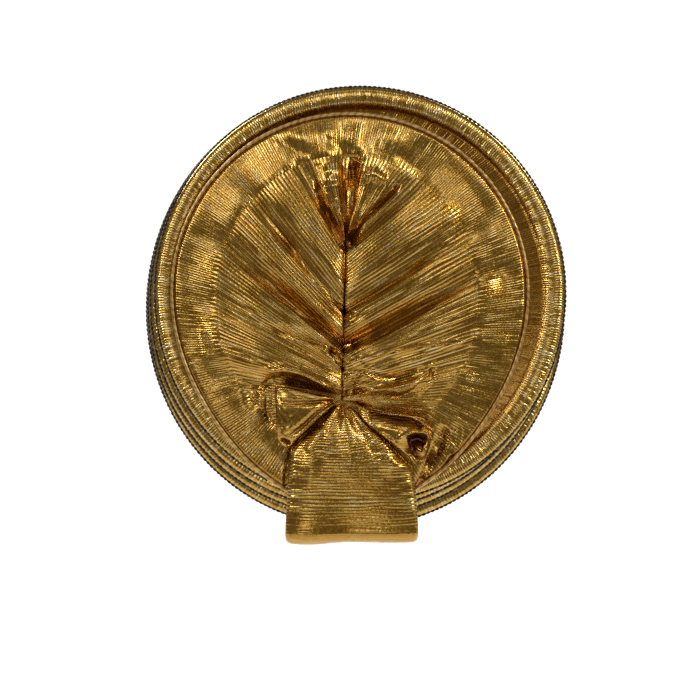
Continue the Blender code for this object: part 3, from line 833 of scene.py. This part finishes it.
def stone_shape():
    """A low faceted bead: its points and its faces."""
    tilt = pi * np.arange(1, STONE_RINGS + 1)[:, None] / (STONE_RINGS + 1)
    turn = 2 * pi * (np.arange(STONE_SIDES) + 0.5) / STONE_SIDES
    rings = np.stack([np.sin(tilt) * np.cos(turn), np.sin(tilt) * np.sin(turn), np.cos(tilt) + 0 * turn], -1)
    points = np.concatenate([[(0, 0, 1)], rings.reshape(-1, 3), [(0, 0, -1)]])
    faces = (grid_faces(rings.shape[:2], False, True) + 1).tolist()
    last = len(points) - 1
    foot = last - STONE_SIDES
    for side in range(STONE_SIDES):
        after = (side + 1) % STONE_SIDES
        faces += [(0, 1 + side, 1 + after), (foot + side, last, foot + after)]
    return points, faces


def build_trim(rim, material):
    """Stones set side by side on a thin chain, along the rim's edge."""
    fine = 2 * pi * np.arange(EDGE_SAMPLES) / EDGE_SAMPLES
    line = rim_edge(rim, fine, TRIM_RADIUS)
    steps = np.linalg.norm(np.roll(line, -1, 0) - line, axis=1)
    travelled = np.concatenate([[0.0], np.cumsum(steps)])
    stones = round(travelled[-1] / STONE_PITCH)
    wanted = np.arange(stones) * travelled[-1] / stones
    angle = np.interp(wanted, travelled, np.append(fine, 2 * pi))
    centre = rim_edge(rim, angle, TRIM_RADIUS)
    behind = rim_edge(rim, angle - SMALL_TURN, TRIM_RADIUS)
    ahead = unit(rim_edge(rim, angle + SMALL_TURN, TRIM_RADIUS) - behind)
    out = np.stack([np.sin(angle), 0 * angle, np.cos(angle)], -1)
    out = unit(out - ahead * (out * ahead).sum(1, keepdims=True))
    deep = np.cross(ahead, out)
    shape, faces = stone_shape()
    sizes = 1 + STONE_SPREAD * np.random.default_rng(rim.number).uniform(-1, 1, (stones, 1, 1))
    axes = np.stack([ahead * STONE_TANGENT, deep * STONE_DEEP, out * STONE_OUT], 1)
    all_points = [(centre[:, None] + sizes * (shape @ axes)).reshape(-1, 3)]
    all_faces = []
    for stone in range(stones):
        start = stone * len(shape)
        all_faces += [tuple(start + corner for corner in face) for face in faces]
    turn = 2 * pi * np.arange(CHAIN_SIDES) / CHAIN_SIDES
    ring = CHAIN_RADIUS * np.stack([np.cos(turn), np.sin(turn)], -1)
    chain = centre[:, None] + ring @ np.stack([out, deep], 1)
    first = stones * len(shape)
    all_points.append(chain.reshape(-1, 3))
    links = grid_faces((stones, CHAIN_SIDES), True, True) + first
    all_faces += links.tolist()
    name = f"stone_chain_{rim.number}"
    data = bpy.data.meshes.new(name)
    data.from_pydata(np.concatenate(all_points).tolist(), [], all_faces)
    close_mesh(data, weld=False, fill=True)
    finish_piece(add_object(name, data), material, f"trim_{rim.number}")


# Nape band and ear folds

BAND_COLUMNS = 72
BAND_ROWS = 420
BAND_BACK_COLUMNS = 9
BAND_BACK_EDGE = 0.985
BAND_HALF_WIDTH = 45 * MM
BAND_SEED = 61
BAND_RIB_SHIFT = 0.3
BAND_RIB_SINK = 0.4
HEM_CREST = 0.32
# Where the ribs come in, and where they fade towards the hem
BAND_START_EASE = 14 * MM
HEM_START = 70 * MM
HEM_EASE = 24 * MM
HEM_FADE = 0.75
FAN_HEIGHT = 0.9 * MM
FAN_MIDDLE = 9 * MM
FAN_LENGTH = 16 * MM
FAN_RATE = 9.5
FAN_SHIFT = 0.7
# Creases show on the hanging part only
BAND_TURN_Z = -170 * MM
BAND_TURN_EASE = 6 * MM
# The turned-under sides, in mm
SIDE_TURN = 1.6
PUFF_POWER = 4
SIDE_POWER = 26
# Waves over the band: how high, how many across, where they start, how long, and the seed
BandWaves = namedtuple("BandWaves", "height rate shift length seed")
RIB_WAVES = BandWaves(0.9 * MM, 1.6, 9, 11 * MM, 83)
BAND_SAGS = BandWaves(1.6 * MM, 1.4, 4, 24 * MM, 85)


def band_waves(waves, across, run):
    return waves.height * smooth_noise(across * waves.rate + waves.shift, run / waves.length, waves.seed)


def band_rib_count(run):
    """How many ribs lie between the gathered point and a place down the band: they widen as they go."""
    growth = (BAND_RIB_PITCH - BAND_KNOT_PITCH) / BAND_RIB_LENGTH
    widening = np.log(1 + growth * np.clip(run, -BAND_KNOT_PITCH, BAND_RIB_LENGTH) / BAND_KNOT_PITCH) / growth
    return widening + np.maximum(run - BAND_RIB_LENGTH, 0) / BAND_RIB_PITCH


def build_nape_band(material):
    """The band from the gathered point down: ribs run across it, and its sides are turned under."""
    rows = np.array(NAPE_BAND).T
    travelled = np.concatenate([[0.0], np.cumsum(np.hypot(*np.diff(rows[:2])))])
    down = np.linspace(0, travelled[-1], BAND_ROWS)
    z, height, puff = (curve_through(down, travelled, rows[k])[:, None] for k in (0, 1, 4))
    left, right = (np.interp(down, travelled, rows[k])[:, None] for k in (2, 3))
    slope = unit(np.stack([np.gradient(z[:, 0]), np.gradient(height[:, 0])], -1))
    front = np.linspace(-1, 1, BAND_COLUMNS)
    back = np.linspace(BAND_BACK_EDGE, -BAND_BACK_EDGE, BAND_BACK_COLUMNS)
    across = np.concatenate([front, back])[None, :]
    is_front = (np.arange(across.shape[1]) < BAND_COLUMNS)[None, :]
    x = left + (right - left) * (across + 1) / 2
    run = down[:, None] * MM
    count = band_rib_count(run + band_waves(RIB_WAVES, across, run))
    rib = ribs(count, across * BAND_HALF_WIDTH + BAND_RIB_SHIFT, BAND_SEED)
    fade = eased(run / BAND_START_EASE) * (1 - HEM_FADE * eased((run - HEM_START) / HEM_EASE))
    fan = np.exp(-((run - FAN_MIDDLE) / FAN_LENGTH) ** 2) * np.sin(across * FAN_RATE + FAN_SHIFT)
    is_outside = eased((z * MM - BAND_TURN_Z) / BAND_TURN_EASE) * (height > 0)
    sunk = creased(x * MM, z * MM, BAND_CREASES) * is_outside
    lift = BAND_RIB_HEIGHT * (rib - BAND_RIB_SINK) * fade + FAN_HEIGHT * fan + sunk
    lift = np.where(is_front, lift + band_waves(BAND_SAGS, across, run), -BAND_CLOTH)
    turned = -puff * across**PUFF_POWER - SIDE_TURN * np.abs(across) ** SIDE_POWER
    height = height - slope[:, 0:1] * (turned + lift / MM)
    z = z + slope[:, 1:2] * (turned + lift / MM)
    points = out_of_panel(x * MM, z * MM, height * MM)
    # Colour level: painted highlight on rib crests, painted shade in valleys and creases, and a plain level
    # where the ribs fade.
    crest = rib * fade + HEM_CREST * (1 - fade) - crease_shade(sunk)
    crest = np.where(is_front, crest, BACK_CREST)
    cloth = cloth_places(count, across * BAND_HALF_WIDTH / RIB_PITCH, rows_close=False)
    piece = grid_object("nape_band_cloth", points, cloth, crest, rows_close=False)
    finish_piece(piece, material, "nape_band")


EAR_ROWS = 84
EAR_COLUMNS = 96
EAR_INNER_ROWS = 40
EAR_INNER_END = 0.12
EAR_INNER_CREST = 0.15
EAR_RIB_SHIFT = 40
EAR_FRONT_RISE = 2
# Over which part of a row the ribs come in and go out
EAR_START_EASE = 0.8
EAR_END_EASE = 0.15
# The deepest pit, as a share of half the thickness there
PIT_SHARE = 1.7
NO_PIT = 0.001


def build_ear_fold(side, rows, creases, material, seed):
    """A flattened tube of ribbed cloth, open at its outer end, with rolled edges on its front. The wall
    inside follows the creases."""
    last = len(rows) - 1
    outer = np.linspace(0, last, EAR_ROWS)
    inner = np.linspace(1, EAR_INNER_END, EAR_INNER_ROWS) * last
    place = np.concatenate([outer, inner])
    is_outer = (np.arange(len(place)) < EAR_ROWS)[:, None]
    values = [curve_through(place, np.arange(len(rows)), column)[:, None] for column in np.array(rows).T]
    upper_x, upper_z, lower_x, lower_z, height, half = values
    around = (2 * pi * np.arange(EAR_COLUMNS) / EAR_COLUMNS)[None, :]
    wall = np.where(is_outer, 0.0, FOLD_CLOTH / MM)
    span = np.hypot(upper_x - lower_x, upper_z - lower_z) / 2
    shrink = 1 - wall / span
    x = (upper_x + lower_x) / 2 + (upper_x - lower_x) / 2 * shrink * np.cos(around)
    z = (upper_z + lower_z) / 2 + (upper_z - lower_z) / 2 * shrink * np.cos(around)
    front_only = np.clip(np.sin(around) * EAR_FRONT_RISE, 0, 1)
    sunk = creased(x * MM, z * MM, creases) * front_only
    deepest = PIT_SHARE * half * np.abs(np.sin(around)) + NO_PIT
    out = height + (half - wall) * np.sin(around)
    out = out + np.where(sunk < 0, deepest * np.tanh(sunk / MM / deepest), sunk / MM)
    points = out_of_panel(x * MM, z * MM, out * MM)
    count = z * MM / RIB_PITCH + EAR_RIB_SHIFT
    run = (x - upper_x[0]) * MM
    fade = eased(place / EAR_START_EASE)[:, None] * eased((last - place) / EAR_END_EASE)[:, None]
    rib = ribs(count, np.abs(run), seed) * fade
    points[..., 1] -= EAR_RIB_HEIGHT * rib * front_only * is_outer
    # Colour level: painted highlight on rib crests, painted shade in valleys, and a stronger painted shade
    # down in creases, the slit and the mouth.
    crest = np.where(is_outer, rib - EAR_SHADE_SHARE * crease_shade(sunk), EAR_INNER_CREST)
    cloth = cloth_places(count, run / RIB_PITCH, rows_close=False)
    piece = grid_object(f"{side}_ear_cloth", points, cloth, crest, rows_close=False)
    finish_piece(piece, material, f"{side}_ear_fold")


# Materials

def new_material(name):
    material = bpy.data.materials.new(name)
    material.use_nodes = True
    return material, material.node_tree


def set_inputs(tree, node, inputs):
    for name, value in inputs.items():
        if isinstance(value, bpy.types.NodeSocket):
            tree.links.new(value, node.inputs[name])
        else:
            node.inputs[name].default_value = value


def add_node(tree, kind, settings, inputs):
    node = tree.nodes.new(kind)
    for name, value in settings.items():
        setattr(node, name, value)
    set_inputs(tree, node, inputs)
    return node


def ramp(tree, factor, stops):
    node = add_node(tree, "ShaderNodeValToRGB", {}, {"Fac": factor})
    elements = node.color_ramp.elements
    while len(elements) < len(stops):
        elements.new(0.5)
    for element, (position, colour) in zip(elements, stops):
        element.position = position
        element.color = colour
    return node.outputs["Color"]


def combined(tree, operation, first, second):
    node = add_node(tree, "ShaderNodeMath", {"operation": operation}, {0: first, 1: second})
    return node.outputs["Value"]


def bumped(tree, strength, inputs):
    inputs = {"Strength": strength, "Distance": 0.0005, **inputs}
    return add_node(tree, "ShaderNodeBump", {}, inputs).outputs["Normal"]


# Noise over the cloth: steps across a rib, and steps along one rib pitch
DASHES = (0.8, 0.15)
THREADS = (1.1, 0.85)
PATCHES = (0.05, 0.06)
# What makes up the level on the colour scale, and where its colours lie. The crest level paints highlight on
# rib crests and shade in valleys and creases; the dashes paint broken glints along the ribs.
CREST_WEIGHT = 0.60
DASH_GLINT_WEIGHT = 0.24
PATCH_WEIGHT = 0.08
LEVEL_SHIFT = 0.02
COLOUR_PLACES = [0.0, 0.06, 0.20, 0.50, 0.90]
GOLD_ROUGHNESS = (0.14, 0.30)
PIPING_ROUGHNESS = (0.28, 0.45)
THREAD_BUMP = 0.32
DASH_BUMP = 0.2


def cloth_noise(tree, place, scale):
    stretch = add_node(tree, "ShaderNodeVectorMath", {"operation": "MULTIPLY"}, {0: place, 1: (*scale, 1.0)})
    inputs = {"Vector": stretch.outputs["Vector"], "Scale": 1.0, "Detail": 2.0}
    return add_node(tree, "ShaderNodeTexNoise", {"noise_dimensions": "3D"}, inputs).outputs["Fac"]


def lame_material(name, colours, roughness):
    """Ribbed gold lame: painted highlight on rib crests and painted shade in valleys and creases, broken
    glints along the ribs that are painted into the colour as well as bumped, and a fine cross thread.
    """
    material, tree = new_material(name)
    crest = add_node(tree, "ShaderNodeAttribute", {"attribute_name": "crest"}, {}).outputs["Fac"]
    place = add_node(tree, "ShaderNodeUVMap", {"uv_map": "cloth"}, {}).outputs["UV"]
    dashes = cloth_noise(tree, place, DASHES)
    threads = cloth_noise(tree, place, THREADS)
    patches = cloth_noise(tree, place, PATCHES)
    level = combined(tree, "MULTIPLY", crest, CREST_WEIGHT)
    level = combined(tree, "ADD", level, combined(tree, "MULTIPLY", dashes, DASH_GLINT_WEIGHT))
    level = combined(tree, "ADD", level, combined(tree, "MULTIPLY", patches, PATCH_WEIGHT))
    level = combined(tree, "SUBTRACT", level, LEVEL_SHIFT)
    colour = ramp(tree, level, list(zip(COLOUR_PLACES, (DEEP_PAINTED_SHADE, SHADED, *colours))))
    low, high = roughness
    span = {"Value": threads, "From Min": 0.3, "From Max": 0.7, "To Min": low, "To Max": high}
    rough = add_node(tree, "ShaderNodeMapRange", {}, span).outputs["Result"]
    normal = bumped(tree, THREAD_BUMP, {"Height": threads})
    normal = bumped(tree, DASH_BUMP, {"Height": dashes, "Normal": normal})
    inputs = {"Base Color": colour, "Roughness": rough, "Normal": normal}
    inputs |= {"Metallic": 0.96, "Coat Weight": 0.6, "Coat Roughness": 0.12}
    set_inputs(tree, tree.nodes["Principled BSDF"], inputs)
    return material


STONE_STOPS = [
    (0.0, (0.010, 0.006, 0.003, 1)), (0.75, (0.040, 0.025, 0.012, 1)), (1.0, (0.18, 0.12, 0.05, 1))
]


def stone_material():
    """Near-black metal cups of a stone chain, seen from behind, each a little different."""
    material, tree = new_material("stone_chain")
    island = add_node(tree, "ShaderNodeNewGeometry", {}, {}).outputs["Random Per Island"]
    inputs = {"Base Color": ramp(tree, island, STONE_STOPS), "Metallic": 0.6, "Roughness": 0.38}
    set_inputs(tree, tree.nodes["Principled BSDF"], inputs)
    return material


def finish_piece(piece, material, node):
    piece.data.materials.append(material)
    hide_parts(node)
    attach(piece, BODY)


# Stage, lights and camera

STAGE_HALF_WIDTH = 3.0
FLOOR_FRONT_Y = -0.7
FLOOR_Z = -0.62
WALL_BEYOND_CAMERA = 0.6
WALL_Y = CAMERA_DISTANCE + WALL_BEYOND_CAMERA
WALL_LIGHT_Y = WALL_Y - 0.9
WALL_TOP = 4.0
CURVE_RADIUS = 0.8
CURVE_STEPS = 12


def build_stage():
    """A pale floor that curves up into a wall behind the cap."""
    profile = [(FLOOR_FRONT_Y, FLOOR_Z)]
    for step in range(CURVE_STEPS + 1):
        turn = pi / 2 * step / CURVE_STEPS
        y = WALL_Y - CURVE_RADIUS + CURVE_RADIUS * sin(turn)
        profile.append((y, FLOOR_Z + CURVE_RADIUS * (1 - cos(turn))))
    profile.append((WALL_Y, WALL_TOP))
    points = np.array([[(x, y, z) for x in (-STAGE_HALF_WIDTH, STAGE_HALF_WIDTH)] for y, z in profile])
    data = bpy.data.meshes.new("floor")
    data.from_pydata(points.reshape(-1, 3).tolist(), [], grid_faces(points.shape[:2], False, False).tolist())
    data.shade_smooth()
    floor = add_object("floor", data)
    material, tree = new_material("pale_floor")
    set_inputs(tree, tree.nodes["Principled BSDF"], {"Base Color": (0.9, 0.9, 0.9, 1), "Roughness": 0.9})
    floor.data.materials.append(material)


# Soft lights, in metres: place, size across and up, power, and what each one faces, the cap if not said.
# The last two light the wall.
Light = namedtuple("Light", "name place size power target", defaults=[(0, 0, 0)])
LIGHTS = table(Light, [
    ("softbox_left", (-0.75, -1.55, 0.8), (0.45, 0.45), 2.4),
    ("softbox_right", (1.4, -0.9, 0.2), (0.35, 0.6), 1.0),
    ("softbox_upper_right", (0.5, -1.6, 0.8), (0.4, 0.4), 1.5),
    ("softbox_top", (0, -1.4, 1.0), (1.0, 0.3), 0.45),
    ("softbox_low", (-0.25, -1.8, -0.7), (0.5, 0.3), 1.25),
    ("glint_left", (-1.5, -1.5, 0.7), (0.3, 0.3), 5.5),
    ("glint_right", (1.4, -1.4, 0.7), (0.3, 0.5), 8.5),
    ("glint_top", (0, -1.0, 1.6), (0.8, 0.2), 1.2),
    ("wall_light_-1", (-1.5, WALL_LIGHT_Y, 1.6), (1, 1), 44, (-0.3, WALL_Y, -0.2)),
    ("wall_light_1", (1.5, WALL_LIGHT_Y, 1.6), (1, 1), 44, (0.3, WALL_Y, -0.2)),
])


def build_lights():
    for light in LIGHTS:
        data = bpy.data.lights.new(light.name, "AREA")
        data.shape = "RECTANGLE"
        data.size, data.size_y = light.size
        data.energy = light.power
        lamp = add_object(light.name, data)
        lamp.location = light.place
        lamp.rotation_euler = (Vector(light.target) - Vector(light.place)).to_track_quat("-Z", "Y").to_euler()
    world = bpy.data.worlds.new("studio")
    bpy.context.scene.world = world
    world.use_nodes = True
    inputs = {"Color": (1, 0.88, 0.70, 1), "Strength": 0.14}
    set_inputs(world.node_tree, world.node_tree.nodes["Background"], inputs)


def build_camera():
    data = bpy.data.cameras.new("camera")
    width = FRAME_PIXELS * MM_PER_PIXEL * MM
    data.sensor_width = SENSOR_WIDTH
    data.lens = SENSOR_WIDTH * CAMERA_DISTANCE / width
    camera = add_object("camera", data)
    camera.location = (CAMERA_X, PANEL_PLANE_Y - CAMERA_DISTANCE, CAMERA_Z)
    camera.rotation_euler = (pi / 2, 0, 0)
    bpy.context.scene.camera = camera
    bpy.context.scene.view_settings.view_transform = "Standard"


def build():
    build_camera()
    gold = lame_material("gold_lame", (VALLEY_PAINTED_SHADE, GOLD, CREST_PAINTED_HIGHLIGHT), GOLD_ROUGHNESS)
    piping = lame_material("piping_cloth", (PIPING_PAINTED_SHADE, PIPING_PALE, PIPING_PALE), PIPING_ROUGHNESS)
    stones = stone_material()
    build_pleated_centre(gold)
    build_pleated_border(gold)
    build_piping(piping)
    build_crown_wall(gold)
    build_rim(RIMS[0], gold, FIRST_RIM_RIBS, FIRST_RIM_COLUMNS)
    for rim in RIMS[1:]:
        build_rim(rim, gold, RIM_RIBS, RIM_COLUMNS)
    for rim in RIMS:
        build_trim(rim, stones)
    build_nape_band(gold)
    build_ear_fold("left", LEFT_EAR, LEFT_EAR_CREASES, gold, seed=91)
    build_ear_fold("right", RIGHT_EAR, RIGHT_EAR_CREASES, gold, seed=95)
    build_stage()
    build_lights()


build()
